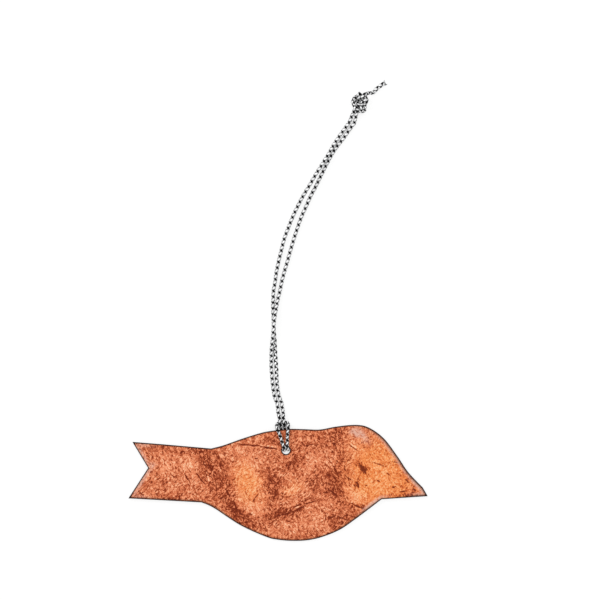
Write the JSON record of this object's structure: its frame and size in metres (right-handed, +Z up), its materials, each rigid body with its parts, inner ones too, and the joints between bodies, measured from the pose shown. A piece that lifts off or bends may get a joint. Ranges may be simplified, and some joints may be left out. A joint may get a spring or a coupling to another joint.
{
  "type": "hanging bird ornament",
  "caption": "Flat bird cut from dyed capiz shell, hung through a drilled hole by a doubled metallic braided cord tied in a knotted loop.",
  "frame": {"origin": "on the table, under the middle of the bird's own bounding box", "axes": "+X from tail to beak, +Y from belly to back and on towards the cord, +Z up from the table; the ornament lies flat, front face up"},
  "size_m": [0.102, 0.1568, 0.0044],
  "materials": {
    "shell": "satin",
    "cord": "satin"
  },
  "bodies": {
    "bird": {"capiz_bird": "shell"},
    "hitch": {"cord_hitch": "cord"},
    "cord_loop": {"cord_left_strand": "cord", "cord_right_strand": "cord", "cord_knot_short_tail": "cord", "cord_knot_long_tail": "cord"}
  },
  "joints": [
    {"name": "bird_swing", "type": "hinge", "parent": "bird", "child": "hitch", "pos_m": [0.0027, 0.01114, 0.00157], "axis": [0, -0.0349, 0.9994], "range_deg": [-12, 8]},
    {"name": "cord_fold", "type": "hinge", "parent": "hitch", "child": "cord_loop", "pos_m": [0.00068, 0.0255, 0.00154], "axis": [0.9903, 0.1392, 0], "range_deg": [0, 150]}
  ]
}
